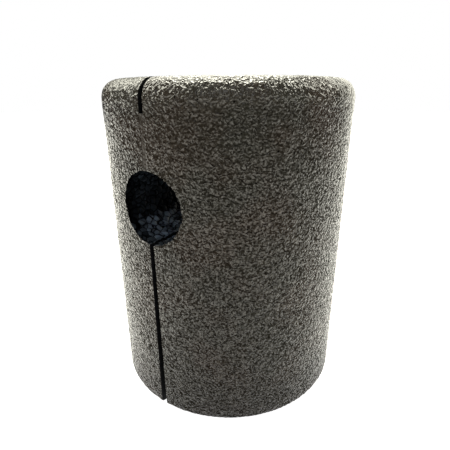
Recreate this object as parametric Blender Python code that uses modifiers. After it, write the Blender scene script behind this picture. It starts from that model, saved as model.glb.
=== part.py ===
"""Insulation shell for a valve, moulded in one piece from expanded polypropylene beads.

The shell is a round block that stands on its open end. A round pocket for the valve runs up
from the base, and a round pipe passage runs through the wall on both sides, along Y. A slit
under each passage lets the shell be pushed down over the pipe, and a groove across the top
lets the two halves spread about the bridge of foam between the groove and the passage.

Units are metres. +Z is up, the origin is the centre of the base.
"""

import math

import bmesh
import bpy

# Outer body
OUTER_RADIUS = 0.060
HEIGHT = 0.154
SHOULDER_RADIUS = 0.0085
BASE_EDGE_RADIUS = 0.002

# Valve pocket, with the draft that lets the mould's core come out downwards
POCKET_MOUTH_RADIUS = 0.030
POCKET_DRAFT = math.radians(1.0)
TOP_WALL = 0.030
CEILING_EDGE_RADIUS = 0.008

# Pipe passage
PASSAGE_RADIUS = 0.0156
PASSAGE_HEIGHT = 0.1035

# Slits under the passage, wider at the base, and the groove across the top
SLIT_WIDTH_AT_BASE = 0.0031
SLIT_WIDTH_AT_PASSAGE = 0.0023
GROOVE_WIDTH = 0.0021
GROOVE_DEPTH = 0.013

# Facets
TURNED_STEPS = 56
PASSAGE_SIDES = 40
SHOULDER_STEPS = 5
CEILING_STEPS = 3
EDGE_STEPS = 2

# How far a cutter stands past the surface that it opens
CUTTER_MARGIN = 0.005

FOAM_COLOUR = (0.052, 0.049, 0.043, 1.0)
FOAM_ROUGHNESS = 0.62


def clear_scene():
    for obj in list(bpy.data.objects):
        bpy.data.objects.remove(obj)


def new_collection(name):
    collection = bpy.data.collections.new(name)
    bpy.context.scene.collection.children.link(collection)
    return collection


def foam_material():
    material = bpy.data.materials.new("expanded_polypropylene")
    material.use_nodes = True
    shader = material.node_tree.nodes["Principled BSDF"]
    shader.inputs["Base Color"].default_value = FOAM_COLOUR
    shader.inputs["Roughness"].default_value = FOAM_ROUGHNESS
    shader.inputs["Metallic"].default_value = 0.0
    material.diffuse_color = FOAM_COLOUR
    return material


def arc(centre_x, centre_z, radius, start, end, steps):
    """Points of a circular arc in the XZ plane, from start to end in degrees."""
    points = []
    for i in range(steps + 1):
        angle = math.radians(start + (end - start) * i / steps)
        points.append((centre_x + radius * math.cos(angle), centre_z + radius * math.sin(angle)))
    return points


def shell_profile():
    """The turned section at +X: from the top centre down the outside, and up inside the pocket."""
    ceiling = HEIGHT - TOP_WALL
    ceiling_radius = POCKET_MOUTH_RADIUS - ceiling * math.tan(POCKET_DRAFT)
    shoulder = (OUTER_RADIUS - SHOULDER_RADIUS, HEIGHT - SHOULDER_RADIUS)
    outer_edge = (OUTER_RADIUS - BASE_EDGE_RADIUS, BASE_EDGE_RADIUS)
    inner_edge = (POCKET_MOUTH_RADIUS + BASE_EDGE_RADIUS, BASE_EDGE_RADIUS)
    ceiling_edge = (ceiling_radius - CEILING_EDGE_RADIUS, ceiling - CEILING_EDGE_RADIUS)
    points = [(0.0, HEIGHT)]
    points += arc(*shoulder, SHOULDER_RADIUS, 90, 0, SHOULDER_STEPS)
    points += arc(*outer_edge, BASE_EDGE_RADIUS, 0, -90, EDGE_STEPS)
    points += arc(*inner_edge, BASE_EDGE_RADIUS, 270, 180, EDGE_STEPS)
    points += arc(*ceiling_edge, CEILING_EDGE_RADIUS, 0, 90, CEILING_STEPS)
    points.append((0.0, ceiling))
    return points


def turned_shell(collection):
    """The shell before its passage, slits and groove are cut."""
    points = shell_profile()
    mesh = bpy.data.meshes.new("insulation_shell")
    vertices = [(x, 0.0, z) for x, z in points]
    edges = [(i, i + 1) for i in range(len(points) - 1)]
    mesh.from_pydata(vertices, edges, [])
    shell = bpy.data.objects.new("insulation_shell", mesh)
    collection.objects.link(shell)

    turn = shell.modifiers.new("turn", "SCREW")
    turn.axis = "Z"
    turn.angle = 2 * math.pi
    turn.steps = TURNED_STEPS
    turn.render_steps = TURNED_STEPS
    turn.use_merge_vertices = True
    turn.merge_threshold = 0.00001
    turn.use_smooth_shade = True
    return shell


def finish_cutter(name, bm, collection):
    bmesh.ops.recalc_face_normals(bm, faces=bm.faces)
    mesh = bpy.data.meshes.new(name)
    bm.to_mesh(mesh)
    bm.free()
    cutter = bpy.data.objects.new(name, mesh)
    cutter.hide_render = True
    cutter.display_type = "WIRE"
    collection.objects.link(cutter)
    return cutter


def passage_cutter(collection):
    """A round bar along Y that opens the pipe passage on both sides."""
    bm = bmesh.new()
    bmesh.ops.create_cone(
        bm,
        cap_ends=True,
        segments=PASSAGE_SIDES,
        radius1=PASSAGE_RADIUS,
        radius2=PASSAGE_RADIUS,
        depth=2 * (OUTER_RADIUS + CUTTER_MARGIN),
    )
    cutter = finish_cutter("passage_cutter", bm, collection)
    cutter.location = (0.0, 0.0, PASSAGE_HEIGHT)
    cutter.rotation_euler = (math.radians(90), 0.0, 0.0)
    return cutter


def blade_cutter(name, bottom, top, width_at_bottom, width_at_top, collection):
    """A flat blade in the YZ plane, as wide as the body, whose width may change with its height."""
    bm = bmesh.new()
    bmesh.ops.create_cube(bm, size=1.0)
    for vertex in bm.verts:
        at_top = vertex.co.z > 0
        vertex.co.x *= width_at_top if at_top else width_at_bottom
        vertex.co.y *= 2 * (OUTER_RADIUS + CUTTER_MARGIN)
        vertex.co.z = top if at_top else bottom
    return finish_cutter(name, bm, collection)


def slit_cutter(collection):
    """The blade that parts the wall from the base up to the middle of the passage, on both sides."""
    passage_floor = PASSAGE_HEIGHT - PASSAGE_RADIUS
    widening = (SLIT_WIDTH_AT_BASE - SLIT_WIDTH_AT_PASSAGE) / passage_floor
    return blade_cutter(
        "slit_cutter",
        -CUTTER_MARGIN,
        PASSAGE_HEIGHT,
        SLIT_WIDTH_AT_BASE + widening * CUTTER_MARGIN,
        SLIT_WIDTH_AT_BASE - widening * PASSAGE_HEIGHT,
        collection,
    )


def groove_cutter(collection):
    """The blade that sinks the groove into the top."""
    return blade_cutter(
        "groove_cutter",
        HEIGHT - GROOVE_DEPTH,
        HEIGHT + CUTTER_MARGIN,
        GROOVE_WIDTH,
        GROOVE_WIDTH,
        collection,
    )


def cut(body, cutter):
    boolean = body.modifiers.new(cutter.name, "BOOLEAN")
    boolean.operation = "DIFFERENCE"
    boolean.solver = "EXACT"
    boolean.object = cutter


def main():
    clear_scene()
    parts = new_collection("valve_insulation_shell")
    cutters = new_collection("cutters")
    shell = turned_shell(parts)
    shell.data.materials.append(foam_material())
    cut(shell, passage_cutter(cutters))
    cut(shell, slit_cutter(cutters))
    cut(shell, groove_cutter(cutters))


main()
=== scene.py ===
"""Valve insulation shell, moulded in one piece from expanded polypropylene beads, on a pale floor.

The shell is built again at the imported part's sizes, in a mesh that is fine enough for its relief.
Its outside carries the skin that was pressed against the mould's wall, its pipe passage the round
beads that the mould's bar left, and its slits and groove the flat walls that the blades left. Units
are metres, +Z is up, and the camera stands where the photograph was taken.
"""

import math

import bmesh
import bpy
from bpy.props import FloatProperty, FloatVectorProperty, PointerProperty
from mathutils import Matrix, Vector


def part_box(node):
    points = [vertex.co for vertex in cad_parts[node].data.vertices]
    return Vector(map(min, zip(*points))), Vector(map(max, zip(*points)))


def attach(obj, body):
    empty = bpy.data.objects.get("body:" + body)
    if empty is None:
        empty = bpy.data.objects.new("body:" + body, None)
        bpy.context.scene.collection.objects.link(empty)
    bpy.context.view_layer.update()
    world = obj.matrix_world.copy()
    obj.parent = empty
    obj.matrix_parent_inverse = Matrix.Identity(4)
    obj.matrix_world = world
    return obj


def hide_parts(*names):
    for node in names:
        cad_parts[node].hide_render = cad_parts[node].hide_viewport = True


bl_info = {
    "name": "Valve Insulation Shell",
    "version": (1, 0, 0),
    "blender": (4, 5, 0),
    "location": "View3D > Sidebar > Insulation",
    "description": "Builds a bead-foam insulation shell for a valve, and the stage it stands on",
    "category": "Add Mesh",
}

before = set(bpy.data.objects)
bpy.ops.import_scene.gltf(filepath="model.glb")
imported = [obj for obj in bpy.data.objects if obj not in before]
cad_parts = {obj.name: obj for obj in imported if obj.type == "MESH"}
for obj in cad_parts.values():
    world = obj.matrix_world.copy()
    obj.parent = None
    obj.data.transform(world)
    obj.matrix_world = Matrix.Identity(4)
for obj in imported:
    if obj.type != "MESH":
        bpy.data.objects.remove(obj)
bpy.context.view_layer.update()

SHELL_LOW, SHELL_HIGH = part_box("insulation_shell")
MM = 0.001

# Slots of the foam's finishes, the same on the body and on every cutter
SKIN_SLOT = 0
CORE_SLOT = 1
BLADE_SLOT = 2

# How far a cutter stands past the surface that it opens
CUTTER_MARGIN = 5 * MM

# Steps of the turned shapes and of the arcs in their profiles
BODY_STEPS = 256
CORE_STEPS = 96
SHOULDER_STEPS = 24
BASE_EDGE_STEPS = 8
CEILING_EDGE_STEPS = 6
MOUTH_EDGE_STEPS = 4
MERGE_DISTANCE = 0.01 * MM

# Faces that meet at more than this keep a sharp edge
SHARP_ANGLE = math.radians(50)

# Kinds of node, and the sockets of a Mix node that mixes colours
MATH = "ShaderNodeMath"
VECTOR_MATH = "ShaderNodeVectorMath"
AXES = "ShaderNodeSeparateXYZ"
STEP = "ShaderNodeMapRange"
SMOOTH = {"interpolation_type": "SMOOTHSTEP"}
NOISE = "ShaderNodeTexNoise"
CELLS = "ShaderNodeTexVoronoi"
MIX = "ShaderNodeMix"
FACTOR, FIRST, SECOND, MIXED = 0, 6, 7, 2

# How far packed beads stray from even rows, from 0 to 1
BEAD_DISORDER = 0.9

POLYPROPYLENE_IOR = 1.49

# Lights: name, turn from the camera's side and rise in degrees, watts, and colour in linear light
WARM = (1.0, 0.98, 0.84)
LAMP = (1.0, 0.93, 0.78)
COOL = (0.95, 0.98, 1.0)
SOFTBOXES = (
    ("high_back_softbox", 180, 60, 44.0, WARM),
    ("back_softbox", 180, 30, 9.0, WARM),
    ("back_left_softbox", -145, 34, 8.0, WARM),
    ("back_right_softbox", 150, 5, 7.0, WARM),
    ("right_softbox", 118, 40, 19.0, WARM),
    ("left_softbox", -112, 40, 18.0, WARM),
    ("top_softbox", 0, 90, 5.5, LAMP),
    ("front_softbox", 0, 45, 4.0, COOL),
)


def hex_colour(text):
    """Turns an sRGB hex value into the linear red, green and blue that Blender works in."""
    channels = [int(text[i:i + 2], 16) / 255 for i in (0, 2, 4)]
    return tuple(c / 12.92 if c <= 0.04045 else ((c + 0.055) / 1.055) ** 2.4 for c in channels)


class ShellSizes(bpy.types.PropertyGroup):
    """Driving sizes of the shell."""

    outer_radius: FloatProperty(
        name="Outer radius", description="Radius of the round body",
        default=(SHELL_HIGH[0] - SHELL_LOW[0]) / 2, unit="LENGTH",
    )
    height: FloatProperty(
        name="Height", description="From the base to the closed top",
        default=SHELL_HIGH[2] - SHELL_LOW[2], unit="LENGTH",
    )
    shoulder_radius: FloatProperty(
        name="Shoulder radius", description="Rounding between the side and the top",
        default=8.5 * MM, unit="LENGTH",
    )
    base_edge_radius: FloatProperty(
        name="Base edge radius", description="Rounding of the edges of the base",
        default=2 * MM, unit="LENGTH",
    )
    pocket_mouth_radius: FloatProperty(
        name="Pocket radius", description="Radius of the valve pocket at the base",
        default=30 * MM, unit="LENGTH",
    )
    pocket_draft: FloatProperty(
        name="Pocket draft", description="How far the pocket's wall leans in as it rises",
        default=math.radians(1.0), subtype="ANGLE",
    )
    top_wall: FloatProperty(
        name="Top wall", description="Foam between the pocket and the top",
        default=30 * MM, unit="LENGTH",
    )
    ceiling_edge_radius: FloatProperty(
        name="Ceiling edge radius", description="Rounding round the pocket's ceiling",
        default=8 * MM, unit="LENGTH",
    )
    passage_radius: FloatProperty(
        name="Passage radius", description="Radius of the pipe passage",
        default=15.6 * MM, unit="LENGTH",
    )
    passage_height: FloatProperty(
        name="Passage height", description="Centre of the pipe passage above the base",
        default=103.5 * MM, unit="LENGTH",
    )
    slit_width_at_base: FloatProperty(
        name="Slit at the base", description="Width of the slit where it meets the base",
        default=3.1 * MM, unit="LENGTH",
    )
    slit_width_at_passage: FloatProperty(
        name="Slit at the passage", description="Width of the slit under the passage",
        default=2.3 * MM, unit="LENGTH",
    )
    groove_width: FloatProperty(
        name="Groove width", description="Width of the groove across the top",
        default=2.1 * MM, unit="LENGTH",
    )
    groove_depth: FloatProperty(
        name="Groove depth", description="Depth of the groove across the top",
        default=13 * MM, unit="LENGTH",
    )


class FoamGrain(bpy.types.PropertyGroup):
    """Sizes of the beads and of the relief that they leave.

    The real beads are about 2 mm across. In the passage, a cut through packed cells 2.7 mm apart
    shows faces of about 2.2 mm. The real skin's wrinkles are about 0.3 to 0.5 mm apart, and lower
    than that. The render has 2 to 3 pixels to the millimetre, so they are drawn at 0.8 to 2.4 mm, as
    deep as it takes for their sides to catch the light.
    """

    bead_size: FloatProperty(
        name="Bead size", description="Usual distance from one bead to the next",
        default=2.1 * MM, unit="LENGTH",
    )
    inner_bead_size: FloatProperty(
        name="Inner bead size", description="The same in the passage, where the beads weren't pressed",
        default=2.7 * MM, unit="LENGTH",
    )
    mesh_step: FloatProperty(
        name="Mesh step", description="Size of the faces on the outside",
        default=1.3 * MM, unit="LENGTH",
    )
    passage_step: FloatProperty(
        name="Passage mesh step", description="Size of the faces in the pipe passage",
        default=0.46 * MM, unit="LENGTH",
    )
    wave_size: FloatProperty(
        name="Wave size", description="Spacing of the broad waves of the pressed skin",
        default=5 * MM, unit="LENGTH",
    )
    ripple_size: FloatProperty(
        name="Ripple size", description="Spacing of the ripples that the flattened beads leave",
        default=2.6 * MM, unit="LENGTH",
    )
    skin_depth: FloatProperty(
        name="Skin relief", description="Height of the waves and ripples of the pressed skin",
        default=0.12 * MM, unit="LENGTH",
    )
    bead_depth: FloatProperty(
        name="Bead relief", description="How far the round beads stand into the passage",
        default=0.8 * MM, unit="LENGTH",
    )
    wrinkle_size: FloatProperty(
        name="Wrinkle size", description="Spacing of the fine wrinkles in the skin",
        default=1.6 * MM, unit="LENGTH",
    )
    wrinkle_depth: FloatProperty(
        name="Wrinkle depth", description="Height of the fine wrinkles in the skin",
        default=0.8 * MM, unit="LENGTH",
    )
    pinhole_spacing: FloatProperty(
        name="Pinhole spacing", description="Between pinholes in the foam, few of which meet the skin",
        default=5 * MM, unit="LENGTH",
    )
    mottle_size: FloatProperty(
        name="Mottle size", description="Spacing of the warmer and cooler patches of the skin",
        default=26 * MM, unit="LENGTH",
    )


class FoamColours(bpy.types.PropertyGroup):
    """Colours of the foam, which is coloured through with carbon black, and its painted light: shade in
    the pinholes and slits, and a highlight on the passage's beads.
    """

    skin_warm: FloatVectorProperty(
        name="Warm skin", description="Brownish part of the pressed skin",
        size=3, subtype="COLOR", default=hex_colour("362F28"), min=0, max=1,
    )
    skin_cool: FloatVectorProperty(
        name="Cool skin", description="Greyer part of the pressed skin",
        size=3, subtype="COLOR", default=hex_colour("32302A"), min=0, max=1,
    )
    # The pinholes are real; their near black is painted shade in the holes
    pinhole_shade: FloatVectorProperty(
        name="Pinhole", description="Dark of the pinholes, where beads don't quite meet",
        size=3, subtype="COLOR", default=hex_colour("070707"), min=0, max=1,
    )
    # A painted highlight: the blue-grey sheen of the light on the beads' crowns, far lighter than the
    # black foam
    painted_bead_highlight: FloatVectorProperty(
        name="Bead crown", description="Crown of the lightest beads in the passage",
        size=3, subtype="COLOR", default=hex_colour("8798AC"), min=0, max=1,
    )
    # Painted shade: the slits' walls are made near black, darker than the foam's own colour
    blade_wall_shade: FloatVectorProperty(
        name="Slit wall", description="Foam in the slits and the groove",
        size=3, subtype="COLOR", default=hex_colour("08090B"), min=0, max=1,
    )


class StageSettings(bpy.types.PropertyGroup):
    """The camera, the floor and the light."""

    camera_azimuth: FloatProperty(
        name="Camera azimuth", description="Turn of the camera round the shell, from its passage",
        default=math.radians(32.72), subtype="ANGLE",
    )
    camera_distance: FloatProperty(
        name="Camera distance", description="From the shell's axis to the camera, along the floor",
        default=189.8 * MM, unit="LENGTH",
    )
    camera_height: FloatProperty(
        name="Camera height", description="Camera above the floor",
        default=148.3 * MM, unit="LENGTH",
    )
    camera_pitch: FloatProperty(
        name="Camera pitch", description="How far the camera looks down",
        default=math.radians(20.32), subtype="ANGLE",
    )
    camera_yaw: FloatProperty(
        name="Camera yaw", description="How far the camera looks past the shell's axis",
        default=math.radians(0.56), subtype="ANGLE",
    )
    camera_roll: FloatProperty(
        name="Camera roll", description="How far the camera leans",
        default=math.radians(-0.34), subtype="ANGLE",
    )
    focal_length: FloatProperty(
        name="Focal length", description="Lens for a 36 mm frame",
        default=28.75, subtype="DISTANCE_CAMERA",
    )
    floor_size: FloatProperty(
        name="Floor size", description="Side of the square floor", default=6.0, unit="LENGTH",
    )
    floor_colour: FloatVectorProperty(
        name="Floor", description="Pale matt floor",
        size=3, subtype="COLOR", default=hex_colour("F4F4F3"), min=0, max=1,
    )
    floor_glow: FloatProperty(
        name="Floor glow", description="Light that comes up through the floor, as from a light table",
        default=1.0,
    )
    backdrop: FloatProperty(
        name="Backdrop", description="Light of the backdrop where the camera sees it", default=1.0,
    )
    surround: FloatProperty(
        name="Surround", description="Light that the rest of the room gives", default=0.05,
    )
    softbox_size: FloatProperty(
        name="Softbox size", description="Across each round soft light", default=1.0, unit="LENGTH",
    )
    light_distance: FloatProperty(
        name="Light distance", description="From the shell to each soft light",
        default=1.6, unit="LENGTH",
    )
    light_aim: FloatProperty(
        name="Light aim", description="Height on the shell that the soft lights face",
        default=SHELL_HIGH[2] * 0.6, unit="LENGTH",
    )


def add_node(tree, kind, inputs=(), **settings):
    """Adds a node with its settings and inputs, each input a value, a socket or a node's first output.

    The inputs are listed in the node's own order, or are a dict by name or number.
    """
    node = tree.nodes.new(kind)
    for name, value in settings.items():
        setattr(node, name, value)
    pairs = inputs.items() if isinstance(inputs, dict) else enumerate(inputs)
    for name, value in pairs:
        if isinstance(value, bpy.types.Node):
            value = value.outputs[0]
        if isinstance(value, bpy.types.NodeSocket):
            tree.links.new(value, node.inputs[name])
        else:
            node.inputs[name].default_value = value
    return node


def bridge_mask(tree, position, sizes):
    """1 on the smooth strip that the mould's blade left between the passage and the groove."""
    axes = add_node(tree, AXES, [position])
    across = add_node(tree, MATH, [axes.outputs["X"]], operation="ABSOLUTE")
    half = sizes.groove_width / 2
    strip = add_node(tree, STEP, [across, half * 0.8, half * 1.2, 1.0, 0.0], **SMOOTH)
    start = sizes.passage_height
    above = add_node(tree, STEP, [axes.outputs["Z"], start, start + 1 * MM], **SMOOTH)
    return add_node(tree, MATH, [strip, above], operation="MULTIPLY")


def skin_height(tree, position, grain, sizes):
    """Height of the skin's waves and ripples, which fade out on the blade's strip and at the base."""
    waves = add_node(
        tree, NOISE, {"Vector": position, "Scale": 1 / grain.wave_size, "Detail": 1.0}
    )
    ripples = add_node(
        tree, NOISE, {"Vector": position, "Scale": 1 / grain.ripple_size, "Detail": 0.0}
    )
    waves = add_node(tree, MATH, [waves, 0.5], operation="SUBTRACT")
    ripples = add_node(tree, MATH, [ripples, 0.5], operation="SUBTRACT")
    height = add_node(tree, MATH, [waves, ripples], operation="ADD")
    height = add_node(tree, MATH, [height, grain.skin_depth * 2], operation="MULTIPLY")
    level = add_node(tree, AXES, [position]).outputs["Z"]
    off_strip = add_node(tree, MATH, [1.0, bridge_mask(tree, position, sizes)], operation="SUBTRACT")
    off_base = add_node(tree, STEP, [level, 0.5 * MM, 3 * MM], **SMOOTH)
    strength = add_node(tree, MATH, [off_strip, off_base], operation="MULTIPLY")
    return add_node(tree, MATH, [height, strength], operation="MULTIPLY")


def bead_height(tree, position, grain):
    """Height of the round beads that stand out of an inner wall, packed with a valley round each."""
    # How far in from its edge a bead turns flat, as a share of its size
    dome_reach = 0.4
    inputs = {"Vector": position, "Scale": 1 / grain.inner_bead_size, "Randomness": BEAD_DISORDER}
    edge = add_node(tree, CELLS, inputs, feature="DISTANCE_TO_EDGE").outputs["Distance"]
    inward = add_node(tree, MATH, [edge, dome_reach], operation="DIVIDE")
    valley = add_node(tree, MATH, [1.0, inward], operation="SUBTRACT", use_clamp=True)
    valley = add_node(tree, MATH, [valley, 2.0], operation="POWER")
    dome = add_node(tree, MATH, [1.0, valley], operation="SUBTRACT", use_clamp=True)
    dome = add_node(tree, MATH, [dome], operation="SQRT")
    return add_node(tree, MATH, [dome, grain.bead_depth], operation="MULTIPLY")


def relief_modifier(piece, name, height_of, side):
    """Moves a piece's surface along its normals, outwards for side 1 and inwards for side -1."""
    tree = bpy.data.node_groups.new(name, "GeometryNodeTree")
    for way in ("INPUT", "OUTPUT"):
        tree.interface.new_socket("Geometry", in_out=way, socket_type="NodeSocketGeometry")
    start = add_node(tree, "NodeGroupInput")
    position = add_node(tree, "GeometryNodeInputPosition").outputs[0]
    normal = add_node(tree, "GeometryNodeInputNormal")
    height = add_node(tree, MATH, [height_of(tree, position), float(side)], operation="MULTIPLY")
    offset = add_node(tree, VECTOR_MATH, {0: normal, "Scale": height}, operation="SCALE")
    moved = add_node(tree, "GeometryNodeSetPosition", {"Geometry": start, "Offset": offset})
    add_node(tree, "NodeGroupOutput", {"Geometry": moved})
    piece.modifiers.new(name, "NODES").node_group = tree


def new_object(name, data):
    """An object for a mesh, a lamp or a camera, in the scene."""
    result = bpy.data.objects.new(name, data)
    bpy.context.scene.collection.objects.link(result)
    return result


def mesh_from(bm, name):
    """A mesh with the shape that bm holds, which is freed."""
    mesh = bpy.data.meshes.new(name)
    bm.to_mesh(mesh)
    bm.free()
    return mesh


def with_foams(piece, materials, slot):
    """The piece, with the foams in its slots and all its faces on the given one."""
    mesh = piece.data
    for material in materials:
        mesh.materials.append(material)
    mesh.polygons.foreach_set("material_index", [slot] * len(mesh.polygons))
    return piece


def applied(piece):
    """Replaces the piece by one whose modifiers are part of its mesh."""
    bpy.context.view_layer.update()
    mesh = bpy.data.meshes.new_from_object(piece.evaluated_get(bpy.context.evaluated_depsgraph_get()))
    name = piece.name
    plain_mesh = piece.data
    bpy.data.objects.remove(piece)
    bpy.data.meshes.remove(plain_mesh)
    mesh.name = name
    return new_object(name, mesh)


def arc(centre, radius, start, end, steps):
    """Points of a circular arc in the XZ plane, from start to end in degrees."""
    angles = [math.radians(start + (end - start) * i / steps) for i in range(steps + 1)]
    return [(centre[0] + radius * math.cos(a), centre[1] + radius * math.sin(a)) for a in angles]


def line(start, end, step):
    """Points along a straight line, without its first one, no further apart than step."""
    count = max(1, math.ceil(math.dist(start, end) / step))
    return [
        (start[0] + (end[0] - start[0]) * i / count, start[1] + (end[1] - start[1]) * i / count)
        for i in range(1, count + 1)
    ]


def turned(name, profile, steps, materials, slot):
    """A solid turned round +Z from a profile that runs from the top centre to the bottom centre."""
    mesh = bpy.data.meshes.new(name)
    edges = [(i, i + 1) for i in range(len(profile) - 1)]
    mesh.from_pydata([(x, 0.0, z) for x, z in profile], edges, [])
    piece = new_object(name, mesh)
    turn = piece.modifiers.new("turn", "SCREW")
    turn.steps = steps
    turn.render_steps = steps
    turn.use_merge_vertices = True
    turn.merge_threshold = MERGE_DISTANCE
    return with_foams(applied(piece), materials, slot)


def round_body(sizes, grain, materials):
    """The body before anything is cut from it, in even faces that carry the skin's relief."""
    shoulder = (sizes.outer_radius - sizes.shoulder_radius, sizes.height - sizes.shoulder_radius)
    base_edge = (sizes.outer_radius - sizes.base_edge_radius, sizes.base_edge_radius)
    profile = [(0.0, sizes.height)]
    profile += arc(shoulder, sizes.shoulder_radius, 90, 0, SHOULDER_STEPS)
    profile += arc(base_edge, sizes.base_edge_radius, 0, -90, BASE_EDGE_STEPS)
    profile.append((0.0, 0.0))
    body = turned("moulded_shell", profile, BODY_STEPS, materials, SKIN_SLOT)
    even = body.modifiers.new("even_faces", "REMESH")
    even.mode = "VOXEL"
    even.voxel_size = grain.mesh_step
    relief_modifier(body, "skin_relief", lambda tree, at: skin_height(tree, at, grain, sizes), 1)
    return body


def pocket_core(sizes, grain, materials):
    """The mould's core, which leaves the valve pocket."""
    ceiling = sizes.height - sizes.top_wall
    ceiling_radius = sizes.pocket_mouth_radius - ceiling * math.tan(sizes.pocket_draft)
    edge = (ceiling_radius - sizes.ceiling_edge_radius, ceiling - sizes.ceiling_edge_radius)
    mouth = (sizes.pocket_mouth_radius + sizes.base_edge_radius, sizes.base_edge_radius)
    # Its smooth wall takes larger faces than the outside does
    step = grain.mesh_step * 2.5
    profile = [(0.0, ceiling)]
    profile += line(profile[-1], (edge[0], ceiling), step)
    profile += arc(edge, sizes.ceiling_edge_radius, 90, 0, CEILING_EDGE_STEPS)[1:]
    profile += line(profile[-1], (sizes.pocket_mouth_radius, sizes.base_edge_radius), step)
    profile += arc(mouth, sizes.base_edge_radius, 180, 270, MOUTH_EDGE_STEPS)[1:]
    profile += [(mouth[0], -CUTTER_MARGIN), (0.0, -CUTTER_MARGIN)]
    return turned("pocket_core", profile, CORE_STEPS, materials, CORE_SLOT)


def passage_bar(sizes, grain, materials):
    """The mould's bar, which leaves the pipe passage, with a dent for each round bead.

    It is a little thicker than the passage, so that the crowns of the beads lie on the passage's wall.
    """
    half = sizes.outer_radius + CUTTER_MARGIN
    radius = sizes.passage_radius + grain.bead_depth * 0.8
    profile = [(0.0, half), (radius, half)]
    profile += line((radius, half), (radius, -half), grain.passage_step)
    profile.append((0.0, -half))
    steps = round(2 * math.pi * radius / grain.passage_step)
    bar = turned("passage_bar", profile, steps, materials, CORE_SLOT)
    bar.data.transform(Matrix.Rotation(math.radians(90), 4, "X"))
    bar.data.transform(Matrix.Translation((0.0, 0.0, sizes.passage_height)))
    relief_modifier(bar, "bead_relief", lambda tree, at: bead_height(tree, at, grain), -1)
    return bar


def blade(name, heights, widths, sizes, grain, materials):
    """A flat blade in the YZ plane, longer than the body is wide, with the widths at its two heights."""
    bottom, top = heights
    length = 2 * (sizes.outer_radius + CUTTER_MARGIN)
    step = grain.mesh_step * 2
    # A grid one unit wide and high is thickened by one unit, and then each vertex goes to its place
    bm = bmesh.new()
    bmesh.ops.create_grid(
        bm, x_segments=math.ceil(length / step), y_segments=math.ceil((top - bottom) / step), size=0.5
    )
    far_side = bmesh.ops.extrude_face_region(bm, geom=bm.faces[:])["geom"]
    bmesh.ops.translate(
        bm, vec=(0.0, 0.0, 1.0), verts=[item for item in far_side if isinstance(item, bmesh.types.BMVert)]
    )
    for vertex in bm.verts:
        along, rise, side = vertex.co.x, vertex.co.y + 0.5, vertex.co.z - 0.5
        width = widths[0] + (widths[1] - widths[0]) * rise
        vertex.co = (side * width, along * length, bottom + (top - bottom) * rise)
    bmesh.ops.recalc_face_normals(bm, faces=bm.faces)
    return with_foams(new_object(name, mesh_from(bm, name)), materials, BLADE_SLOT)


def slit_blade(sizes, grain, materials):
    """The blade that parts the wall from the base up to the middle of the passage, on both sides."""
    passage_floor = sizes.passage_height - sizes.passage_radius
    widening = (sizes.slit_width_at_base - sizes.slit_width_at_passage) / passage_floor
    heights = (-CUTTER_MARGIN, sizes.passage_height)
    widths = [sizes.slit_width_at_base - widening * height for height in heights]
    return blade("slit_blade", heights, widths, sizes, grain, materials)


def groove_blade(sizes, grain, materials):
    """The blade that sinks the groove into the top."""
    heights = (sizes.height - sizes.groove_depth, sizes.height + CUTTER_MARGIN)
    widths = (sizes.groove_width, sizes.groove_width)
    return blade("groove_blade", heights, widths, sizes, grain, materials)


def cut(body, cutters):
    """Takes the cutters out of the body, and removes them."""
    for cutter in cutters:
        boolean = body.modifiers.new(cutter.name, "BOOLEAN")
        boolean.operation = "DIFFERENCE"
        boolean.solver = "MANIFOLD"
        boolean.object = cutter
    result = applied(body)
    for cutter in cutters:
        bpy.data.objects.remove(cutter)
    result.data.shade_smooth()
    result.data.set_sharp_from_angle(angle=SHARP_ANGLE)
    return result


def foam_material(name, roughness, specular):
    """A material for a finish of the foam, and its shader.

    Where a node drives the specular level, the one on the socket is its usual value, for exporters.
    """
    material = bpy.data.materials.new(name)
    material.use_nodes = True
    shader = material.node_tree.nodes["Principled BSDF"]
    shader.inputs["Metallic"].default_value = 0.0
    shader.inputs["IOR"].default_value = POLYPROPYLENE_IOR
    shader.inputs["Roughness"].default_value = roughness
    shader.inputs["Specular IOR Level"].default_value = specular
    return material, shader


def folds(tree, position, size, width):
    """Short curved ridges: 1 along their crests, falling to 0 over the given width."""
    inputs = {"Vector": position, "Scale": 1 / size, "Detail": 1.0, "Roughness": 0.6}
    off_crest = add_node(tree, MATH, [add_node(tree, NOISE, inputs), 0.5], operation="SUBTRACT")
    off_crest = add_node(tree, MATH, [off_crest], operation="ABSOLUTE")
    return add_node(tree, STEP, [off_crest, 0.0, width, 1.0, 0.0], **SMOOTH)


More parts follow.
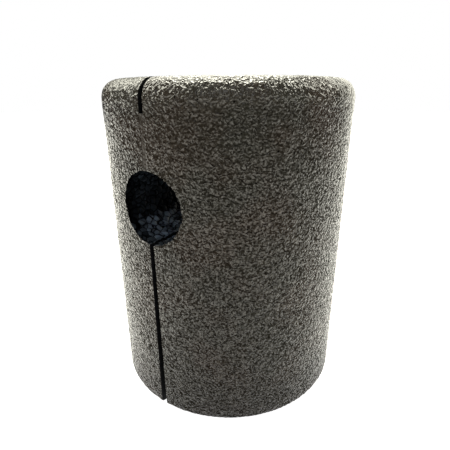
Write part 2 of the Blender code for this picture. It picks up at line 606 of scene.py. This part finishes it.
def crumpled_skin(tree, position, grain):
    """Two values from about 0 to 1: the relief that tilts the skin, and how open it is to the light.

    Both come from folds that bend round the flattened beads and from the beads' own rims. Openness,
    which is low in the creases, also has grit, the finest wrinkles of all.
    """
    shift = add_node(tree, NOISE, {"Vector": position, "Scale": 1 / grain.bead_size, "Detail": 1.0})
    shift = add_node(tree, VECTOR_MATH, [shift.outputs["Color"], (0.5,) * 3], operation="SUBTRACT")
    bent = add_node(
        tree, VECTOR_MATH, [shift, (grain.bead_size,) * 3, position], operation="MULTIPLY_ADD"
    )
    bead = add_node(
        tree, CELLS, {"Vector": bent, "Scale": 1 / grain.bead_size, "Randomness": BEAD_DISORDER}
    )
    rim = add_node(tree, STEP, [bead.outputs["Distance"], 0.25, 0.7], **SMOOTH)

    wide_folds = folds(tree, bent, grain.wrinkle_size * 1.5, 0.2)
    relief = add_node(tree, MATH, [wide_folds, 0.75], operation="MULTIPLY")
    relief = add_node(tree, MATH, [rim, 0.25, relief], operation="MULTIPLY_ADD")

    grit_size = grain.wrinkle_size / 2
    grit = add_node(tree, NOISE, {"Vector": position, "Scale": 1 / grit_size, "Detail": 1.0})
    grit = add_node(tree, STEP, [grit, 0.3, 0.7], **SMOOTH)
    fine_folds = folds(tree, bent, grain.wrinkle_size, 0.11)
    openness = add_node(tree, MATH, [fine_folds, 0.34], operation="MULTIPLY")
    openness = add_node(tree, MATH, [rim, 0.1, openness], operation="MULTIPLY_ADD")
    openness = add_node(tree, MATH, [openness, 0.02], operation="ADD")
    openness = add_node(tree, MATH, [grit, 0.5, openness], operation="MULTIPLY_ADD")
    return relief, openness


def smoothed_by_blade(tree, position, relief, openness, sizes):
    """The skin's relief and openness, with a quarter of the roughness on the strip above the passage."""
    strip = bridge_mask(tree, position, sizes)
    rough = add_node(tree, MATH, [strip, -0.75, 1.0], operation="MULTIPLY_ADD")
    relief = add_node(tree, MATH, [relief, rough], operation="MULTIPLY")
    even_part = add_node(tree, MATH, [strip, 0.38], operation="MULTIPLY")
    openness = add_node(tree, MATH, [openness, rough, even_part], operation="MULTIPLY_ADD")
    return relief, openness


def calmer_at_top_with_shoulder_highlight(tree, position, relief, openness, sizes):
    """The skin's relief and openness, calmer near the top, and raised along the shoulder as a painted
    highlight, lighter and shinier there.
    """
    level = add_node(tree, AXES, [position]).outputs["Z"]
    top = sizes.height
    rough = add_node(tree, STEP, [level, top - 45 * MM, top - 14 * MM, 1.0, 0.6], **SMOOTH)
    relief = add_node(tree, MATH, [relief, rough], operation="MULTIPLY")
    even_part = add_node(tree, MATH, [rough, -0.35, 0.35], operation="MULTIPLY_ADD")
    openness = add_node(tree, MATH, [openness, rough, even_part], operation="MULTIPLY_ADD")
    # Painted highlight: more openness along the shoulder makes the skin lighter and shinier there
    shoulder = add_node(tree, STEP, [level, top - 13 * MM, top - 4 * MM, 0.0, 0.4], **SMOOTH)
    openness = add_node(tree, MATH, [openness, shoulder], operation="ADD")
    return relief, openness


def pinholes(tree, position, grain):
    """1 in the pinholes, half a millimetre across where the skin meets their middle. The pinholes are
    real; their near black in the skin is painted shade in the holes.
    """
    inputs = {"Vector": position, "Scale": 1 / grain.pinhole_spacing, "Randomness": BEAD_DISORDER}
    spot = add_node(tree, CELLS, inputs).outputs["Distance"]
    return add_node(tree, STEP, [spot, 0.05, 0.09, 1.0, 0.0], **SMOOTH)


def skin_material(colours, grain, sizes):
    """Expanded polypropylene pressed against the mould's wall.

    The beads lie flat and their skins are crumpled, so it is a dark grey-brown full of short shiny
    folds, which catch the light at a slant. Hardly any light comes back out of the creases between
    them, so they are darkened in the colour as painted shade, and pinholes sit where beads don't quite
    meet.
    """
    material, shader = foam_material("moulded_expanded_polypropylene", roughness=0.2, specular=0.2)
    tree = material.node_tree
    position = add_node(tree, "ShaderNodeTexCoord").outputs["Object"]
    relief, openness = crumpled_skin(tree, position, grain)
    relief, openness = smoothed_by_blade(tree, position, relief, openness, sizes)
    relief, openness = calmer_at_top_with_shoulder_highlight(tree, position, relief, openness, sizes)
    pinhole_shade = pinholes(tree, position, grain)
    closed = add_node(tree, MATH, [pinhole_shade, 1.5], operation="MULTIPLY")
    openness = add_node(tree, MATH, [openness, closed], operation="SUBTRACT")
    crest = add_node(tree, STEP, [openness, 0.25, 0.85], **SMOOTH)
    crest = add_node(tree, MATH, [crest, 0.7], operation="POWER")

    # Warm and cool patches, darkened by painted shade to 0.42 of their lightness in the creases and to
    # 0.82 on the crests
    mottle = add_node(tree, NOISE, {"Vector": position, "Scale": 1 / grain.mottle_size, "Detail": 2.0})
    mottle = add_node(tree, STEP, [mottle, 0.33, 0.62], **SMOOTH)
    inputs = {FACTOR: mottle, FIRST: (*colours.skin_warm, 1.0), SECOND: (*colours.skin_cool, 1.0)}
    colour = add_node(tree, MIX, inputs, data_type="RGBA").outputs[MIXED]
    shade = add_node(tree, MATH, [crest, 0.4, 0.42], operation="MULTIPLY_ADD")
    inputs = {FACTOR: 1.0, FIRST: colour, SECOND: shade}
    colour = add_node(tree, MIX, inputs, data_type="RGBA", blend_type="MULTIPLY").outputs[MIXED]
    # Painted shade: the pinholes are made near black
    inputs = {FACTOR: pinhole_shade, FIRST: colour, SECOND: (*colours.pinhole_shade, 1.0)}
    colour = add_node(tree, MIX, inputs, data_type="RGBA").outputs[MIXED]
    tree.links.new(colour, shader.inputs["Base Color"])

    # The crests shine, less so where the skin is seen edge on, because they hide one another there
    slant = add_node(tree, "ShaderNodeLayerWeight").outputs["Facing"]
    seen = add_node(tree, STEP, [slant, 0.75, 1.0, 0.42, 0.2], **SMOOTH)
    shine = add_node(tree, MATH, [crest, seen], operation="MULTIPLY")
    tree.links.new(shine.outputs[0], shader.inputs["Specular IOR Level"])
    bump = add_node(
        tree, "ShaderNodeBump", {"Strength": 1.0, "Distance": grain.wrinkle_depth, "Height": relief}
    )
    tree.links.new(bump.outputs[0], shader.inputs["Normal"])
    return material


def core_material(colours, grain, sizes):
    """Expanded polypropylene against the mould's core and bar.

    Nothing pressed these beads flat, so they stay round and smooth. Their colour is a painted
    blue-grey highlight on each crown, with painted shade, black, between them. It shows in the lower
    part of the passage. Higher up, and next to the passage's ends, painted shade makes the wall nearly
    black, so it hardly shows its beads.
    """
    material, shader = foam_material("unpressed_expanded_polypropylene", roughness=0.4, specular=0.2)
    tree = material.node_tree
    position = add_node(tree, "ShaderNodeTexCoord").outputs["Object"]
    inputs = {"Vector": position, "Scale": 1 / grain.inner_bead_size, "Randomness": BEAD_DISORDER}
    bead = add_node(tree, CELLS, inputs)
    middle = sizes.passage_height
    mouth = sizes.outer_radius
    # Painted shade: bead by bead, the colour and shine fall to near black above the lower part of the
    # passage and near its ends
    axes = add_node(tree, AXES, [bead.outputs["Position"]])
    low = add_node(tree, STEP, [axes.outputs["Z"], middle - 12 * MM, middle - 7 * MM, 1.0, 0.07], **SMOOTH)
    outward = add_node(tree, MATH, [axes.outputs["Y"]], operation="ABSOLUTE")
    inside = add_node(tree, STEP, [outward, mouth - 11 * MM, mouth - 4 * MM, 1.0, 0.15], **SMOOTH)
    painted_light_low_down = add_node(tree, MATH, [low, inside], operation="MULTIPLY")

    height = bead_height(tree, position, grain)
    # Painted shade in the valleys between the beads, so the painted highlight lies only on their crowns
    painted_crown_highlight = add_node(tree, STEP, [height, grain.bead_depth * 0.25, grain.bead_depth * 0.85], **SMOOTH)
    painted_crown_highlight = add_node(tree, MATH, [painted_crown_highlight, painted_light_low_down], operation="MULTIPLY")
    tone = add_node(tree, "ShaderNodeSeparateColor", {"Color": bead.outputs["Color"]})
    shade = add_node(tree, STEP, [tone, 0.0, 1.0, 0.35, 1.0], **SMOOTH)
    shade = add_node(tree, MATH, [shade, painted_crown_highlight], operation="MULTIPLY")
    # The beads' colour is a painted highlight, blue-grey on their crowns, in random tones
    inputs = {FACTOR: 1.0, FIRST: (*colours.painted_bead_highlight, 1.0), SECOND: shade}
    colour = add_node(tree, MIX, inputs, data_type="RGBA", blend_type="MULTIPLY")
    tree.links.new(colour.outputs[MIXED], shader.inputs["Base Color"])
    tree.links.new(painted_crown_highlight.outputs[0], shader.inputs["Specular IOR Level"])

    # The height is in metres already, so the bump's own distance is 1
    height = add_node(tree, MATH, [height, painted_light_low_down], operation="MULTIPLY")
    bump = add_node(tree, "ShaderNodeBump", {"Strength": 1.0, "Distance": 1.0, "Height": height})
    tree.links.new(bump.outputs[0], shader.inputs["Normal"])
    return material


def blade_material(colours):
    """Expanded polypropylene against the mould's thin blades, in the slits and the groove.

    The blades leave flat matt walls, so close together that hardly any light comes back out. Their near
    black colour is painted shade, darker than the foam's own.
    """
    material, shader = foam_material("blade_formed_expanded_polypropylene", roughness=0.7, specular=0.1)
    shader.inputs["Base Color"].default_value = (*colours.blade_wall_shade, 1.0)
    return material


class INSULATION_OT_shell(bpy.types.Operator):
    """Builds the shell's dense mesh with its three finishes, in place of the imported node"""

    bl_idname = "insulation.shell"
    bl_label = "Insulation Shell"
    bl_options = {"REGISTER", "UNDO"}

    def execute(self, context):
        scene = context.scene
        sizes, grain, colours = scene.shell_sizes, scene.foam_grain, scene.foam_colours
        materials = [
            skin_material(colours, grain, sizes),
            core_material(colours, grain, sizes),
            blade_material(colours),
        ]
        body = round_body(sizes, grain, materials)
        makers = (pocket_core, passage_bar, slit_blade, groove_blade)
        shell = cut(body, [make(sizes, grain, materials) for make in makers])
        if len(shell.data.polygons) == 0:
            raise RuntimeError("the shell came out empty")
        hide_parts("insulation_shell")
        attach(shell, "root")
        return {"FINISHED"}


def pale_floor(stage):
    """A pale floor in matt white paint, which gives an even white with no gloss."""
    bm = bmesh.new()
    bmesh.ops.create_grid(bm, x_segments=1, y_segments=1, size=stage.floor_size / 2)
    floor = new_object("floor", mesh_from(bm, "floor"))
    material = bpy.data.materials.new("matt_white_paint")
    material.use_nodes = True
    shader = material.node_tree.nodes["Principled BSDF"]
    shader.inputs["Base Color"].default_value = (*stage.floor_colour, 1.0)
    shader.inputs["Roughness"].default_value = 0.9
    shader.inputs["Specular IOR Level"].default_value = 0.1
    shader.inputs["Emission Color"].default_value = (*hex_colour("FFFFFF"), 1.0)
    shader.inputs["Emission Strength"].default_value = stage.floor_glow
    floor.data.materials.append(material)


def softbox(stage, name, turn, rise, watts, colour):
    """A round soft light, turned from the camera's side and raised, in degrees, that faces the shell."""
    lamp = bpy.data.lights.new(name, "AREA")
    lamp.shape = "DISK"
    lamp.size = stage.softbox_size
    lamp.energy = watts
    lamp.color = colour
    light = new_object(name, lamp)
    heading = stage.camera_azimuth + math.radians(turn)
    height = math.radians(rise)
    towards = Vector((
        math.sin(heading) * math.cos(height),
        -math.cos(heading) * math.cos(height),
        math.sin(height),
    ))
    light.location = Vector((0.0, 0.0, stage.light_aim)) + towards * stage.light_distance
    light.rotation_mode = "QUATERNION"
    light.rotation_quaternion = towards.to_track_quat("Z", "Y")


def studio_light(stage):
    """The soft lights, stronger behind and beside the shell than in front, and a white backdrop."""
    for row in SOFTBOXES:
        softbox(stage, *row)
    world = bpy.data.worlds.new("studio")
    bpy.context.scene.world = world
    world.use_nodes = True
    tree = world.node_tree
    background = tree.nodes["Background"]
    background.inputs["Color"].default_value = (*hex_colour("FFFFFF"), 1.0)
    seen = add_node(tree, "ShaderNodeLightPath").outputs["Is Camera Ray"]
    strength = add_node(tree, STEP, [seen, 0.0, 1.0, stage.surround, stage.backdrop], **SMOOTH)
    tree.links.new(strength.outputs[0], background.inputs["Strength"])


def photo_camera(stage):
    """The camera, where the photograph was taken from."""
    data = bpy.data.cameras.new("camera")
    data.sensor_width = 36.0
    data.lens = stage.focal_length
    data.clip_start = 0.01
    data.clip_end = 50.0
    camera = new_object("camera", data)
    place = Vector((
        math.sin(stage.camera_azimuth) * stage.camera_distance,
        -math.cos(stage.camera_azimuth) * stage.camera_distance,
        stage.camera_height,
    ))
    heading = Matrix.Rotation(stage.camera_azimuth + stage.camera_yaw, 4, "Z")
    pitch = Matrix.Rotation(math.radians(90) - stage.camera_pitch, 4, "X")
    roll = Matrix.Rotation(stage.camera_roll, 4, "Z")
    camera.matrix_world = Matrix.Translation(place) @ heading @ pitch @ roll
    bpy.context.scene.camera = camera


class INSULATION_OT_stage(bpy.types.Operator):
    """Builds the pale floor, the soft studio light and the camera"""

    bl_idname = "insulation.stage"
    bl_label = "Stage"
    bl_options = {"REGISTER", "UNDO"}

    def execute(self, context):
        scene = context.scene
        pale_floor(scene.stage_settings)
        studio_light(scene.stage_settings)
        photo_camera(scene.stage_settings)
        scene.view_settings.view_transform = "Standard"
        scene.view_settings.look = "None"
        return {"FINISHED"}


class INSULATION_PT_panel(bpy.types.Panel):
    """Lists the shell's sizes, grain and colours, and the operators that build it"""

    bl_idname = "INSULATION_PT_panel"
    bl_label = "Valve Insulation Shell"
    bl_space_type = "VIEW_3D"
    bl_region_type = "UI"
    bl_category = "Insulation"

    def draw(self, context):
        scene = context.scene
        for title, group in (
            ("Sizes", scene.shell_sizes),
            ("Grain", scene.foam_grain),
            ("Colours", scene.foam_colours),
            ("Stage", scene.stage_settings),
        ):
            box = self.layout.box()
            box.label(text=title)
            for name in group.bl_rna.properties.keys():
                if name not in ("rna_type", "name"):
                    box.prop(group, name)
        self.layout.operator(INSULATION_OT_shell.bl_idname)
        self.layout.operator(INSULATION_OT_stage.bl_idname)


GROUPS = {
    "shell_sizes": ShellSizes,
    "foam_grain": FoamGrain,
    "foam_colours": FoamColours,
    "stage_settings": StageSettings,
}
CLASSES = (*GROUPS.values(), INSULATION_OT_shell, INSULATION_OT_stage, INSULATION_PT_panel)


def register():
    for cls in CLASSES:
        bpy.utils.register_class(cls)
    for name, group in GROUPS.items():
        setattr(bpy.types.Scene, name, PointerProperty(type=group))


def unregister():
    for name in GROUPS:
        delattr(bpy.types.Scene, name)
    for cls in reversed(CLASSES):
        bpy.utils.unregister_class(cls)


def main():
    register()
    bpy.ops.insulation.shell()
    bpy.ops.insulation.stage()


if __name__ == "__main__":
    main()
